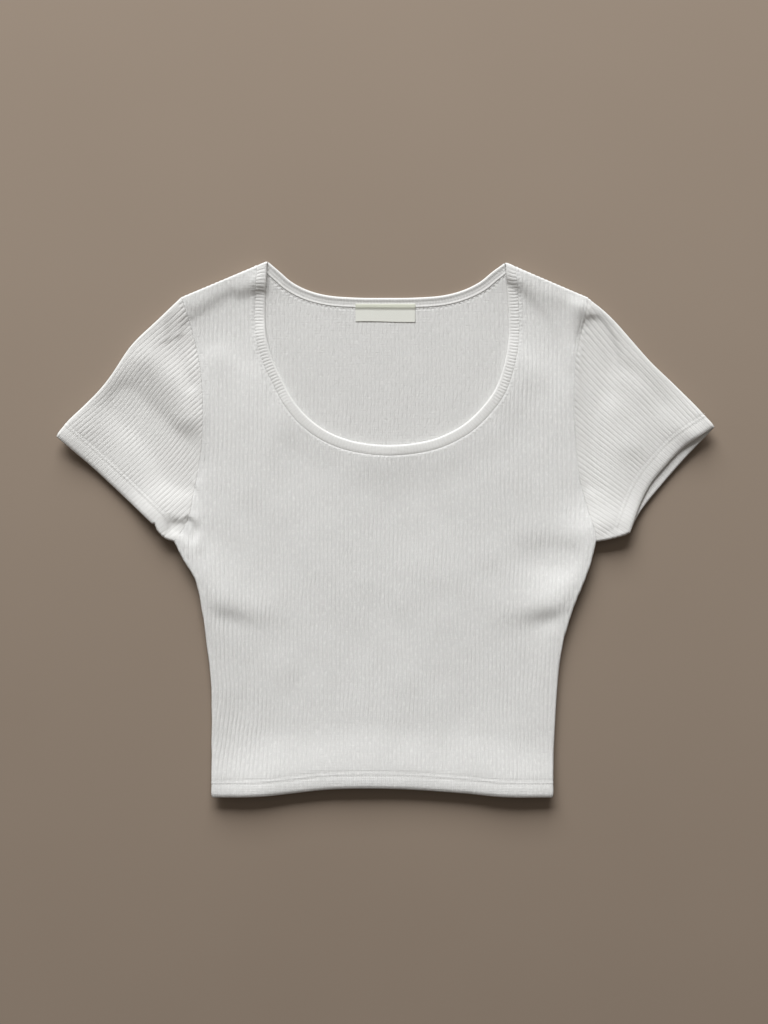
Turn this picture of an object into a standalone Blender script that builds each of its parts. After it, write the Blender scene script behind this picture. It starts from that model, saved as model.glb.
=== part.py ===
"""A short-sleeved, scoop-necked crop top in ribbed knit, laid out flat on its back.

The cloth is two layers. The upper layer is the front panel with the front of each sleeve, and the
lower layer is the back panel with the back of each sleeve. Each layer is one height function over
the plan, and both curl into each other along the folded outline. The panels are cut from those two
functions along the seam lines and given the cloth's thickness. Lengths here are in millimetres;
the meshes are made in metres. +X runs to the garment's sleeve on the right of a reader who looks
down on it, +Y to the neck and +Z up from the surface that it lies on.
"""
import math

import bpy
import numpy as np
from mathutils import Vector
from mathutils.geometry import delaunay_2d_cdt

MM = 0.001
CLOTH = 1.1            # one layer of knit
TURN_UP = 2.2          # cloth folded back on itself at the hem and cuffs, and the folded neck band
TURN_UP_DEPTH = 9.5    # width of the hem and cuff turn-ups
SEAM = 0.3             # gap between two pieces that are sewn together
SHOULDER_EASE = 0.7    # added to it where the neck band's thick fold meets the panels' thin one
BAND_WIDTH = 8.6       # visible width of the neck band
LABEL = (49.0, 12.0, 1.0)
FOLD_HALF = 2.2        # half height of the folded edge down each side
FOLD_HALF_THICK = 3.1  # the same at the hem, the cuffs and the neck points, where cloth is doubled
FOLD_REACH = 1.15      # how far in the curl runs, over its half height
MID_HEIGHT = 3.2       # top of the upper layer where it lies flattest
BACK_HEM_RISE = 2.0    # how far the back hem stops short of the front one

# Outline of the torso, a row for each level from the hem to the underarm.
TORSO_ROWS = (
    # y,    left x, right x
    (-217.5, -142.0, 137.0),
    (-173.0, -142.3, 138.0),
    (-132.0, -142.5, 140.5),
    (-99.0, -145.5, 144.0),
    (-66.0, -150.0, 153.0),
    (-41.0, -155.5, 163.0),
    (-25.0, -165.0, 168.5),
    (-10.0, -172.5, 172.0),
)
# Sleeve seam, a row for each level from the underarm to the shoulder tip.
ARMHOLE_ROWS = (
    # y,   left x, right x
    (-10.0, -172.5, 172.0),
    (0.0, -165.5, 170.5),
    (11.0, -160.5, 167.0),
    (30.0, -157.0, 161.5),
    (46.0, -154.0, 158.0),
    (70.0, -150.5, 156.0),
    (100.0, -149.6, 154.6),
    (131.0, -151.5, 154.8),
    (153.0, -156.0, 157.5),
    (172.0, -161.0, 161.8),
    (190.0, -167.0, 165.0),
)
# Front edge of the hem, a row for each station from left to right.
HEM_ROWS = (
    # x, y
    (-142.0, -217.5),
    (-98.0, -216.5),
    (-45.0, -211.0),
    (5.0, -210.5),
    (62.0, -214.0),
    (95.0, -217.0),
    (137.0, -217.5),
)
# Seam between the front panel and the neck band, from the left shoulder round to the right one.
SCOOP_ROWS = (
    # x, y
    (-104.6, 216.2),
    (-106.6, 190.0),
    (-106.4, 160.0),
    (-100.5, 137.0),
    (-92.0, 118.5),
    (-81.5, 99.5),
    (-67.0, 83.5),
    (-51.0, 72.5),
    (-32.0, 65.0),
    (-8.5, 61.0),
    (15.0, 61.0),
    (39.0, 65.0),
    (55.0, 71.0),
    (71.0, 80.5),
    (86.5, 95.5),
    (97.5, 111.0),
    (104.8, 131.0),
    (109.0, 153.0),
    (109.3, 177.0),
    (106.0, 215.2),
)
# Free edge of the neck band across the back, from the left neck point to the right one.
BACK_NECK_ROWS = (
    # x, y
    (-96.5, 219.5),
    (-86.5, 211.0),
    (-77.0, 203.0),
    (-64.0, 196.3),
    (-48.0, 192.0),
    (-25.0, 190.1),
    (0.0, 189.8),
    (25.0, 190.1),
    (48.0, 192.0),
    (64.0, 196.3),
    (77.5, 203.0),
    (87.5, 211.0),
    (98.0, 218.5),
)
# Each sleeve's folded top edge from shoulder tip to cuff tip, its cuff edge from the cuff tip down,
# and its underarm edge from the cuff in to the side seam.
SLEEVE_EDGES = {
    "left": {
        "top": ((-167.0, 190.0), (-188.0, 170.0), (-207.0, 151.5), (-229.0, 120.0),
                (-246.0, 101.5), (-260.0, 87.5), (-268.0, 77.0)),
        "cuff_upper": ((-268.0, 77.0), (-253.5, 65.5), (-239.0, 53.0), (-211.5, 27.5), (-188.0, 6.0)),
        "cuff_lower": ((-268.0, 77.0), (-253.0, 66.0), (-238.5, 53.5), (-211.0, 28.0), (-188.0, 6.0)),
        "underarm": ((-188.0, 6.0), (-184.5, -1.5), (-179.0, -7.0), (-172.5, -10.0)),
    },
    "right": {
        "top": ((165.0, 190.0), (184.0, 174.0), (201.0, 155.0), (217.0, 137.0),
                (236.5, 118.0), (251.0, 103.5), (268.0, 84.5)),
        "cuff_upper": ((268.0, 84.5), (254.5, 76.0), (241.0, 66.0), (227.5, 51.5),
                       (216.5, 38.0), (207.5, 23.0), (197.0, -1.0)),
        "cuff_lower": ((268.0, 84.5), (247.5, 62.5), (226.5, 38.5), (206.0, 14.5), (197.0, -1.0)),
        "underarm": ((197.0, -1.0), (187.0, -3.5), (179.0, -7.5), (172.0, -10.0)),
    },
}
# Soft ridges (rise above 0) and troughs of the upper layer, each along one straight line.
FOLD_ROWS = (
    # x start, y start, x end, y end, half width, rise
    (-110.0, 205.0, -158.0, 186.0, 9.0, 1.1),    # left shoulder, rolled edge
    (-118.0, 184.0, -138.0, 176.0, 9.0, -0.6),   # dimple below it
    (-192.0, 150.0, -176.0, 120.0, 14.0, 1.2),   # left sleeve, crown
    (-212.0, 124.0, -166.0, 66.0, 9.0, -0.6),    # left sleeve, slanting trough
    (-238.0, 92.0, -200.0, 52.0, 12.0, 0.9),     # left sleeve, ridge over the cuff
    (-200.0, 32.0, -164.0, 34.0, 14.0, 1.3),     # left sleeve, fullness over the underarm
    (-136.0, -62.0, -98.0, -66.0, 7.0, -0.6),    # left waist, pinched trough
    (-98.0, -68.0, -48.0, -96.0, 8.0, -0.5),     # its fading end
    (-134.0, -92.0, -74.0, -100.0, 13.0, 1.1),   # ridge below the trough
    (-136.0, -36.0, -78.0, -46.0, 13.0, 1.0),    # ridge above the trough
    (-110.0, -186.0, -56.0, -182.0, 20.0, 0.8),  # left of the hem, soft lift
    (46.0, -178.0, 118.0, -184.0, 20.0, 0.8),    # right of the hem, soft lift
    (112.0, 203.0, 156.0, 186.0, 9.0, 1.1),      # right shoulder, rolled edge
    (120.0, 178.0, 134.0, 168.0, 10.0, -0.6),    # dimple below it
    (172.0, 156.0, 168.0, 60.0, 7.0, -0.6),      # right sleeve, trough beside the seam
    (196.0, 136.0, 206.0, 60.0, 13.0, 1.2),      # right sleeve, long ridge
    (112.0, 14.0, 188.0, 13.0, 10.0, 1.1),       # right underarm, ridge from torso to sleeve
    (100.0, -9.0, 164.0, -14.0, 8.0, -0.6),      # trough below it
    (96.0, -46.0, 156.0, -42.0, 12.0, 1.2),      # right side, broad ridge
    (108.0, -77.0, 143.0, -67.0, 5.0, -0.5),     # right waist, pinched crease
    (112.0, -94.0, 142.0, -88.0, 8.0, 0.9),      # ridge under the crease
)
HEM_LIFT = (-6.0, 86.0, 50.0, 1.6)   # centre x, half width, reach above the hem, rise


def smooth(value, start, end):
    """Ramp from 0 at start to 1 at end with no corners."""
    t = np.clip((np.asarray(value, float) - start) / (end - start), 0.0, 1.0)
    return t * t * (3.0 - 2.0 * t)


def curve(rows, step):
    """Even stations, about step apart, on a smooth curve through the rows."""
    p = np.array(rows, float)
    p = np.vstack([2 * p[0] - p[1], p, 2 * p[-1] - p[-2]])
    knots = np.concatenate([[0.0], np.cumsum(np.linalg.norm(np.diff(p, axis=0), axis=1) ** 0.5)])
    fine = []
    for i in range(1, len(p) - 2):
        t0, t1, t2, t3 = knots[i - 1:i + 3]
        t = np.linspace(t1, t2, 24, endpoint=False)[:, None]
        a1 = (t1 - t) / (t1 - t0) * p[i - 1] + (t - t0) / (t1 - t0) * p[i]
        a2 = (t2 - t) / (t2 - t1) * p[i] + (t - t1) / (t2 - t1) * p[i + 1]
        a3 = (t3 - t) / (t3 - t2) * p[i + 1] + (t - t2) / (t3 - t2) * p[i + 2]
        b1 = (t2 - t) / (t2 - t0) * a1 + (t - t0) / (t2 - t0) * a2
        b2 = (t3 - t) / (t3 - t1) * a2 + (t - t1) / (t3 - t1) * a3
        fine.append((t2 - t) / (t2 - t1) * b1 + (t - t1) / (t2 - t1) * b2)
    fine = np.vstack(fine + [p[-2][None, :]])
    run = np.concatenate([[0.0], np.cumsum(np.linalg.norm(np.diff(fine, axis=0), axis=1))])
    stations = np.linspace(0.0, run[-1], max(2, int(round(run[-1] / step)) + 1))
    return np.column_stack([np.interp(stations, run, fine[:, k]) for k in (0, 1)])


def side_normals(line):
    """Unit normals to the right of an open line's direction of travel."""
    tangent = np.gradient(line, axis=0)
    tangent /= np.linalg.norm(tangent, axis=1)[:, None]
    return np.column_stack([tangent[:, 1], -tangent[:, 0]])


def nearest(points, line):
    """Distance from each point to a line of segments, with the nearest place on it."""
    a = line[:-1]
    ab = line[1:] - a
    length = np.maximum((ab ** 2).sum(axis=1), 1e-12)
    t = np.clip(((points[:, None, :] - a) * ab).sum(axis=2) / length, 0.0, 1.0)
    foot = a + t[:, :, None] * ab
    gap = np.linalg.norm(points[:, None, :] - foot, axis=2)
    best = gap.argmin(axis=1)
    rows = np.arange(len(points))
    return gap[rows, best], foot[rows, best]


def inside(points, loop):
    """Even-odd test of each point against a closed loop."""
    x, y = points[:, 0][:, None], points[:, 1][:, None]
    x0, y0 = loop[:, 0], loop[:, 1]
    x1, y1 = np.roll(x0, -1), np.roll(y0, -1)
    cross = (y0 > y) != (y1 > y)
    with np.errstate(divide="ignore", invalid="ignore"):
        at = (x1 - x0) * (y - y0) / (y1 - y0) + x0
    return (cross & (x < at)).sum(axis=1) % 2 == 1


# Seam and edge lines at the stations that neighbouring pieces share.
STEP = 8.0
torso = np.array(TORSO_ROWS)
arm = np.array(ARMHOLE_ROWS)
SIDE = {"left": curve(torso[:, [1, 0]], STEP), "right": curve(torso[:, [2, 0]], STEP)}
ARMHOLE = {"left": curve(arm[:, [1, 0]], STEP), "right": curve(arm[:, [2, 0]], STEP)}
HEM = curve(HEM_ROWS, STEP * 1.5)
SCOOP = curve(SCOOP_ROWS, STEP * 0.8)
BACK_FREE = curve(BACK_NECK_ROWS, STEP * 0.8)
NECK_POINT = {"left": BACK_FREE[0], "right": BACK_FREE[-1]}
SHOULDER = {}
for hand, neck_seam in (("left", SCOOP[0]), ("right", SCOOP[-1])):
    SHOULDER[hand] = np.linspace(ARMHOLE[hand][-1], neck_seam, 9)
SLEEVE = {}
for hand, edges in SLEEVE_EDGES.items():
    SLEEVE[hand] = {name: curve(rows, STEP) for name, rows in edges.items()}
# The folded outline on each hand: side, then underarm out to the cuff, and the top edge with the
# shoulder in to the neck point.
FOLDS = []
for hand in ("left", "right"):
    FOLDS.append(np.vstack([SIDE[hand], SLEEVE[hand]["underarm"][::-1][1:]]))
    FOLDS.append(np.vstack([SLEEVE[hand]["top"][::-1], SHOULDER[hand][1:], NECK_POINT[hand]]))
CUFFS = [SLEEVE[hand][name] for hand in ("left", "right") for name in ("cuff_upper", "cuff_lower")]


def fold_distance(points):
    """Distance to the folded outline, and the direction out to it."""
    found = [nearest(points, line) for line in FOLDS]
    gaps = np.array([gap for gap, _ in found])
    best = gaps.argmin(axis=0)
    gap = gaps.min(axis=0)
    foot = np.array([place for _, place in found])[best, np.arange(len(points))]
    out = foot - points
    for which, line in enumerate(FOLDS):
        on_edge = (gap < 0.05) & (best == which)
        if on_edge.any():
            away = -1.0 if which < 2 else 1.0
            order = np.linalg.norm(points[on_edge][:, None, :] - line, axis=2).argmin(axis=1)
            out[on_edge] = side_normals(line)[order] * away
    out /= np.maximum(np.linalg.norm(out, axis=1), 1e-9)[:, None]
    return gap, out


def fold_half(points):
    """Half height of the folded edge near each point."""
    sleeve = smooth(np.abs(points[:, 0]), 168.0, 200.0)
    hem = smooth(-points[:, 1], 186.0, 204.0)
    neck = np.zeros(len(points))
    for place in NECK_POINT.values():
        neck = np.maximum(neck, 1.0 - smooth(np.linalg.norm(points - place, axis=1), 14.0, 42.0))
    thick = np.maximum(np.maximum(sleeve, hem), neck)
    return FOLD_HALF + (FOLD_HALF_THICK - FOLD_HALF) * thick


def turn_up_distance(points):
    """Distance to the nearest turned-up edge, hem or cuff."""
    return np.min([nearest(points, line)[0] for line in [HEM] + CUFFS], axis=0)


def upper_height(points, gap, half):
    """Top of the upper layer away from the curl."""
    mid = np.full(len(points), MID_HEIGHT)
    mid += 2.0 * (1.0 - smooth(turn_up_distance(points), 11.0, 30.0))
    mid += 1.1 * np.exp(-(nearest(points, SCOOP)[0] / 20.0) ** 2)
    mid += 0.6 * smooth(np.abs(points[:, 0]), 160.0, 195.0)
    x0, wide, reach, rise = HEM_LIFT
    above = nearest(points, HEM)[0]
    mid += rise * np.exp(-((points[:, 0] - x0) / wide) ** 2) * (1.0 - smooth(above, 0.0, reach))
    for ax, ay, bx, by, half_width, lift in FOLD_ROWS:
        away = nearest(points, np.array([(ax, ay), (bx, by)]))[0]
        mid += lift * np.exp(-(away / half_width) ** 2)
    edge = np.exp(-(gap / 15.0) ** 2)
    return mid + (2.0 * half + SEAM - mid) * edge


def layer(points, upper, thick, meet=False):
    """Outer and inner points of one layer over plan points. meet closes it on the other layer."""
    gap, out = fold_distance(points)
    half = fold_half(points)
    reach = half * FOLD_REACH
    cos = np.clip(1.0 - gap / reach, 0.0, 1.0)
    sin = np.sqrt(1.0 - cos ** 2)
    seam_z = half + (SEAM / 2 if meet else (SEAM if upper else 0.0))
    if upper:
        far = upper_height(points, gap, half)
        e = 0.05
        slope = []
        for step in ((e, 0.0), (0.0, e)):
            ahead = upper_height(points + step, gap, half)
            behind = upper_height(points - step, gap, half)
            slope.append((ahead - behind) / (2 * e))
        lean = np.column_stack([-slope[0], -slope[1], np.ones(len(points))])
    else:
        far = np.zeros(len(points))
        lean = np.tile((0.0, 0.0, -1.0), (len(points), 1))
    rise = np.abs(far - seam_z)
    z = seam_z + (far - seam_z) * sin
    outer = np.column_stack([points, z])
    normal = np.column_stack([out * (cos / reach)[:, None], np.zeros(len(points))])
    normal = normal + lean * (sin / rise)[:, None]
    normal /= np.linalg.norm(normal, axis=1)[:, None]
    inner = outer - normal * np.asarray(thick)[:, None]
    return outer, inner


def thickness(points, edge_lines):
    """Cloth thickness, doubled over the turn-ups that run along the given edges."""
    thick = np.full(len(points), CLOTH)
    for line in edge_lines:
        near = 1.0 - smooth(nearest(points, line)[0], TURN_UP_DEPTH - 0.4, TURN_UP_DEPTH + 1.4)
        thick = np.maximum(thick, CLOTH + (TURN_UP - CLOTH) * near)
    return thick


def fill(loop, spacing, edge_lines):
    """Triangles over a closed loop, with rows beside the folded outline and the turn-ups."""
    extra = []
    for line in FOLDS:
        for d in (0.5, 1.5, 3.2, 6.5):
            extra.append(line + side_normals(line) * d)
            extra.append(line - side_normals(line) * d)
    for line in edge_lines:
        for d in (TURN_UP_DEPTH - 0.6, TURN_UP_DEPTH + 1.6):
            extra.append(line + side_normals(line) * d)
            extra.append(line - side_normals(line) * d)
    extra = np.vstack(extra)
    low, high = loop.min(axis=0), loop.max(axis=0)
    rows = []
    for j, y in enumerate(np.arange(low[1], high[1], spacing * 0.866)):
        x = np.arange(low[0] + (spacing / 2 if j % 2 else 0.0), high[0], spacing)
        rows.append(np.column_stack([x, np.full(len(x), y)]))
    grid = np.vstack(rows)
    closed = np.vstack([loop, loop[:1]])
    extra = extra[inside(extra, loop)]
    extra = extra[nearest(extra, closed)[0] > 0.45]
    kept = []
    for p in extra:
        if not kept or np.linalg.norm(np.array(kept) - p, axis=1).min() > 0.9:
            kept.append(p)
    extra = np.array(kept) if kept else np.zeros((0, 2))
    grid = grid[inside(grid, loop)]
    grid = grid[nearest(grid, closed)[0] > spacing * 0.45]
    if len(extra):
        apart = np.linalg.norm(grid[:, None, :] - extra, axis=2).min(axis=1)
        grid = grid[apart > spacing * 0.45]
    points = np.vstack([loop, extra, grid])
    count = len(loop)
    rim = [(i, (i + 1) % count) for i in range(count)]
    result = delaunay_2d_cdt([Vector(p) for p in points], rim, [], 1, 1e-6)
    tris = []
    for tri in result[2]:
        a, b, c = (np.array(result[0][i]) for i in tri)
        turn = (b[0] - a[0]) * (c[1] - a[1]) - (b[1] - a[1]) * (c[0] - a[0])
        tris.append(tuple(tri) if turn > 0 else tuple(reversed(tri)))
    return np.array([tuple(v) for v in result[0]]), tris


def material(name, colour, roughness):
    mat = bpy.data.materials.new(name)
    mat.use_nodes = True
    shader = mat.node_tree.nodes["Principled BSDF"]
    shader.inputs["Base Color"].default_value = (*colour, 1.0)
    shader.inputs["Roughness"].default_value = roughness
    shader.inputs["Metallic"].default_value = 0.0
    return mat


def add_object(name, vertices, faces, mat):
    mesh = bpy.data.meshes.new(name)
    mesh.from_pydata([tuple(v * MM) for v in vertices], [], [tuple(int(i) for i in f) for f in faces])
    mesh.validate()
    mesh.materials.append(mat)
    obj = bpy.data.objects.new(name, mesh)
    bpy.context.scene.collection.objects.link(obj)
    return obj


def loop_from(*parts):
    """One closed loop from lines that meet end to end, without repeated corners."""
    points = []
    for part in parts:
        for p in part:
            if not points or np.linalg.norm(np.array(points[-1]) - p) > 0.2:
                points.append(tuple(p))
    if np.linalg.norm(np.array(points[0]) - points[-1]) < 0.2:
        points.pop()
    return np.array(points)


def panel(name, loop, upper, spacing, edge_lines, mat):
    """A panel of one layer: outer face, inner face and the cut edge between them."""
    plan, tris = fill(loop, spacing, edge_lines)
    outer, inner = layer(plan, upper, thickness(plan, edge_lines))
    n = len(plan)
    faces = [t if upper else t[::-1] for t in tris]
    faces += [tuple(i + n for i in (t[::-1] if upper else t)) for t in tris]
    count = len(loop)
    for i in range(count):
        j = (i + 1) % count
        faces.append((j, i, i + n, j + n) if upper else (i, j, j + n, i + n))
    return add_object(name, np.vstack([outer, inner]), faces, mat)


def make_sleeve(hand, mat):
    """A sleeve: a tube folded along its top edge, sewn under the arm, open at seam and cuff."""
    edges = SLEEVE[hand]
    out = side_normals(ARMHOLE[hand]) * (-1.0 if hand == "left" else 1.0)
    seam_line = ARMHOLE[hand] + out * SEAM
    top = np.vstack([seam_line[-1:], edges["top"][1:]])
    under = np.vstack([edges["underarm"][:-1], seam_line[:1]])
    vertices = []
    faces = []
    shared = {}
    for upper in (True, False):
        cuff = edges["cuff_upper" if upper else "cuff_lower"]
        loop = loop_from(top, cuff[1:], under[1:], seam_line[1:])
        if (loop[:, 0] * np.roll(loop[:, 1], -1) - np.roll(loop[:, 0], -1) * loop[:, 1]).sum() < 0:
            loop = loop[::-1]
        plan, tris = fill(loop, 13.0, [cuff])
        outer, inner = layer(plan, upper, thickness(plan, [cuff]), meet=True)
        index = []
        for k, p in enumerate(plan):
            key = None
            for tag, line in (("top", top), ("under", under)):
                gap = np.linalg.norm(line - p, axis=1)
                if k < len(loop) and gap.min() < 1e-4:
                    key = (tag, int(gap.argmin()))
            if key is None or key not in shared:
                vertices.extend([outer[k], inner[k]])
                index.append(len(vertices) - 2)
                if key is not None:
                    shared[key] = len(vertices) - 2
            else:
                index.append(shared[key])
        for t in tris:
            o = tuple(index[i] for i in t)
            faces.append(o if upper else o[::-1])
            faces.append(tuple(i + 1 for i in (o[::-1] if upper else o)))
        fold_keys = set(shared.values())
        count = len(loop)
        for i in range(count):
            a, b = index[i], index[(i + 1) % count]
            mid = (loop[i] + loop[(i + 1) % count])[None, :] / 2
            on_fold = a in fold_keys and b in fold_keys
            on_fold = on_fold and min(nearest(mid, top)[0][0], nearest(mid, under)[0][0]) < 0.05
            if not on_fold:
                faces.append((b, a, a + 1, b + 1) if upper else (a, b, b + 1, a + 1))
    return add_object("sleeve_" + hand, np.array(vertices), faces, mat)


def make_band(mat):
    """The neck band: a folded strip sewn round the whole neckline, one closed ring."""
    def arc(seam_line, away):
        """Seam and free edges of one arc, square across it, and along the shoulder at its ends."""
        normal = side_normals(seam_line) * away
        run = np.concatenate([[0.0], np.cumsum(np.linalg.norm(np.diff(seam_line, axis=0), axis=1))])
        for end, place in ((0, run), (-1, run[-1] - run)):
            hand = "left" if seam_line[end][0] < 0 else "right"
            along = NECK_POINT[hand] - seam_line[end]
            along = along / np.linalg.norm(along)
            share = (1.0 - smooth(place, 0.0, 22.0))[:, None]
            normal = normal * (1.0 - share) + along * share
        normal /= np.linalg.norm(normal, axis=1)[:, None]
        free = seam_line + normal * BAND_WIDTH
        free[0] = NECK_POINT["left" if seam_line[0][0] < 0 else "right"]
        free[-1] = NECK_POINT["left" if seam_line[-1][0] < 0 else "right"]
        return seam_line, free

    front_seam, front_free = arc(SCOOP, -1.0)
    back_seam = BACK_SEAM[::-1]
    back_free = BACK_FREE[::-1]
    columns = np.linspace(0.0, 1.0, 4)
    rings = []
    for seam_line, free, upper in ((front_seam, front_free, True), (back_seam, back_free, False)):
        sections = []
        stations = []
        last = len(seam_line) - 1
        for i in range(last):
            stations.extend([i + f for f in ((0.0, 0.12, 0.3, 0.6) if i == 0 else (0.0,))])
            if i == last - 1:
                stations.extend([i + f for f in (0.4, 0.7, 0.88)])
        stations.append(last)
        for s in stations:
            i = min(int(s), last - 1)
            f = s - i
            a = seam_line[i] * (1 - f) + seam_line[i + 1] * f
            b = free[i] * (1 - f) + free[i + 1] * f
            plan = a + (b - a) * columns[:, None]
            outer, inner = layer(plan, upper, np.full(len(plan), TURN_UP), meet=True)
            sections.append(np.vstack([outer, inner[::-1]]))
        rings.append(sections)
    front, back = rings
    ring = front + back[1:-1]
    size = len(columns) * 2
    faces = []
    for k in range(len(ring)):
        for c in range(size):
            a = k * size + c
            b = k * size + (c + 1) % size
            d = ((k + 1) % len(ring)) * size
            faces.append((d + c, d + (c + 1) % size, b, a))
    obj = add_object("neck_binding", np.vstack(ring), faces, mat)
    return obj


def back_seam_line():
    """Seam between the back panel and the neck band, a band's width outside the free edge."""
    normal = side_normals(BACK_FREE)
    run = np.concatenate([[0.0], np.cumsum(np.linalg.norm(np.diff(BACK_FREE, axis=0), axis=1))])
    for place, hand, end in ((run, "left", SCOOP[0]), (run[-1] - run, "right", SCOOP[-1])):
        along = end - NECK_POINT[hand]
        along = along / np.linalg.norm(along)
        share = (1.0 - smooth(place, 0.0, 16.0))[:, None]
        normal = normal * (1.0 - share) + along * share
    normal /= np.linalg.norm(normal, axis=1)[:, None]
    line = BACK_FREE + normal * BAND_WIDTH
    line[0] = SCOOP[0]
    line[-1] = SCOOP[-1]
    return line


BACK_SEAM = back_seam_line()

for old in list(bpy.data.objects):
    bpy.data.objects.remove(old, do_unlink=True)

knit = material("knit_body", (0.62, 0.61, 0.59), 0.9)
knit_back = material("knit_back", (0.58, 0.57, 0.555), 0.9)
knit_sleeve = material("knit_sleeve", (0.66, 0.65, 0.62), 0.9)
knit_band = material("knit_band", (0.64, 0.63, 0.61), 0.9)
tape = material("label_tape", (0.78, 0.78, 0.72), 0.7)



def panel_neck(seam_line):
    """A body panel's neck edge: a seam's gap outside the band, wider where both fold over."""
    run = np.concatenate([[0.0], np.cumsum(np.linalg.norm(np.diff(seam_line, axis=0), axis=1))])
    from_end = np.minimum(run, run[-1] - run)
    gap = SEAM + SHOULDER_EASE * (1.0 - smooth(from_end, 3.0, 14.0))
    line = seam_line + side_normals(seam_line) * gap[:, None]
    for end, hand in ((0, "left"), (-1, "right")):
        along = SHOULDER[hand][0] - seam_line[end]
        line[end] = seam_line[end] + along / np.linalg.norm(along) * gap[end]
    return line


front_neck = panel_neck(SCOOP)
back_neck = panel_neck(BACK_SEAM)
back_hem = HEM + (0.0, BACK_HEM_RISE)
back_hem[0] = HEM[0]
back_hem[-1] = HEM[-1]


def body_loop(neck_line, hem_line):
    """Outline of a body panel, hem first and then round to the left."""
    return loop_from(hem_line, SIDE["right"][1:], ARMHOLE["right"][1:], SHOULDER["right"][1:-1],
                     neck_line[::-1], SHOULDER["left"][::-1][1:-1], ARMHOLE["left"][::-1],
                     SIDE["left"][::-1][1:])


panel("front_panel", body_loop(front_neck, HEM), True, 15.0, [HEM], knit)
panel("back_panel", body_loop(back_neck, back_hem), False, 24.0, [back_hem], knit_back)
make_sleeve("left", knit_sleeve)
make_sleeve("right", knit_sleeve)
make_band(knit_band)

# The label lies on the back panel inside the neck, its top edge against the band.
wide, deep, thick = LABEL
top_y = BACK_SEAM[len(BACK_SEAM) // 2][1] - SEAM
corners = [(sx * wide / 2, top_y - dy, CLOTH + SEAM + dz)
           for dz in (0.0, thick) for sx, dy in ((-1, deep), (1, deep), (1, 0.0), (-1, 0.0))]
label_faces = [(3, 2, 1, 0), (4, 5, 6, 7), (0, 1, 5, 4), (1, 2, 6, 5), (2, 3, 7, 6), (3, 0, 4, 7)]
add_object("label", np.array(corners), label_faces, tape)

# The origin is under the middle of the whole garment, on the surface that it lies on.
meshes = [obj for obj in bpy.data.objects if obj.type == "MESH"]
everything = np.array([v.co[:] for obj in meshes for v in obj.data.vertices])
low, high = everything.min(axis=0), everything.max(axis=0)
shift = np.array([(low[0] + high[0]) / 2, (low[1] + high[1]) / 2, low[2]])
for obj in meshes:
    for v in obj.data.vertices:
        v.co = Vector(np.array(v.co[:]) - shift)
    obj.data.update()
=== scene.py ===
"""Looks of a ribbed-knit crop top that lies flat: cloth, ribs, folds, seams, stitches and light.

Each panel is a thin shell on its solid's form. The upper layer is one relief (a height over the
plan) that holds the folds, the lower layer lies on the floor and stands off it a little at its
edges, and both curl into each other at the folded outline. Lengths are in millimetres in the
tables and helpers, and in metres in the meshes.
"""
import math
from functools import partial

import bmesh
import bpy
import numpy as np
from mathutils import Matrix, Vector, kdtree
from mathutils.geometry import delaunay_2d_cdt


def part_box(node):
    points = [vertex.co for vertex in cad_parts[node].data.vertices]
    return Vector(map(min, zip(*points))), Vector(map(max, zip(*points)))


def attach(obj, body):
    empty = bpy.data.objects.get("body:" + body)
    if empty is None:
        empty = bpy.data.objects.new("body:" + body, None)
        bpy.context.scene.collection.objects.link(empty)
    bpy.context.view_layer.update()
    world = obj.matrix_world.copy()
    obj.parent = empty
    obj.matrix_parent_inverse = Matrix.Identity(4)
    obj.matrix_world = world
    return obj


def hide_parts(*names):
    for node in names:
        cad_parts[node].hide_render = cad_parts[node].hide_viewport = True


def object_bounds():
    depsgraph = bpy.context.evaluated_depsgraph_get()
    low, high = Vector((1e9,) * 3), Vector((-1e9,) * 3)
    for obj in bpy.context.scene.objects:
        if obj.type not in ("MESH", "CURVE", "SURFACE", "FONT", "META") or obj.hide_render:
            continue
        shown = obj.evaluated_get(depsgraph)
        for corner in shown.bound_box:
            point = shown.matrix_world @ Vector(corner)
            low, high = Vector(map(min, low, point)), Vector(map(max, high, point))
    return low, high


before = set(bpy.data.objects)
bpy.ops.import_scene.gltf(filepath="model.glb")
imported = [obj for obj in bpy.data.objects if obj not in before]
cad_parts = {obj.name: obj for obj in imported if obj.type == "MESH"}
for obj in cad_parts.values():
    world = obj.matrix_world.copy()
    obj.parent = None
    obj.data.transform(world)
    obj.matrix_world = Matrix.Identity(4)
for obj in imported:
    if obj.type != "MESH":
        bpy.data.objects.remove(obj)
CAD_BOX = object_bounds()

MM = 0.001
TURN = 2.0 * math.pi

# ---- driving sizes
CLOTH = 1.0              # one layer of knit
TURN_UP = 1.9            # cloth folded on itself: hem, cuffs, neck band
TURN_UP_DEPTH = 9.5
STITCH_ROWS = (9.7, 12.9)  # hem and cuff stitch rows, from the edge
BAND_WIDTH = 8.6
SEAM = 0.03              # gap that the drawn cloth leaves along a seam
RIB = 3.35               # pitch of the body and sleeve ribs
BAND_RIB = 2.7           # pitch of the ribs that run across the neck band
ACROSS = RIB / 6         # mesh columns across a rib
EDGE_STEP = 0.8          # mesh spacing along seams and edges
FOLD_HALF = 1.9          # half height of the folded edge down each side
FOLD_HALF_THICK = 2.2    # where the cloth is doubled
FOLD_REACH = 0.85        # how far in a folded edge curls, in half heights
MID_HEIGHT = 3.3         # top of the upper layer where it lies flattest
PUCKER = 3.4             # pitch of the small puckers along the neck seam
HEM_LIFT = 2.8           # the lower layer stands this far off the floor at the hem,
CUFF_LIFT = 1.2          # at the cuffs,
EDGE_LIFT = 2.1          # along the folded edges,
ARMPIT_LIFT = 2.6        # further still beside the waist under the arms,
TIP_LIFT = 2.6           # and at the cuff tips
PLAN_HALF = (290.0, 245.0)  # half size of the plan that the reliefs cover
RIB_MEAN = 0.6           # mean height of a rib's profile, kept on the cloth's face
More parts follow.
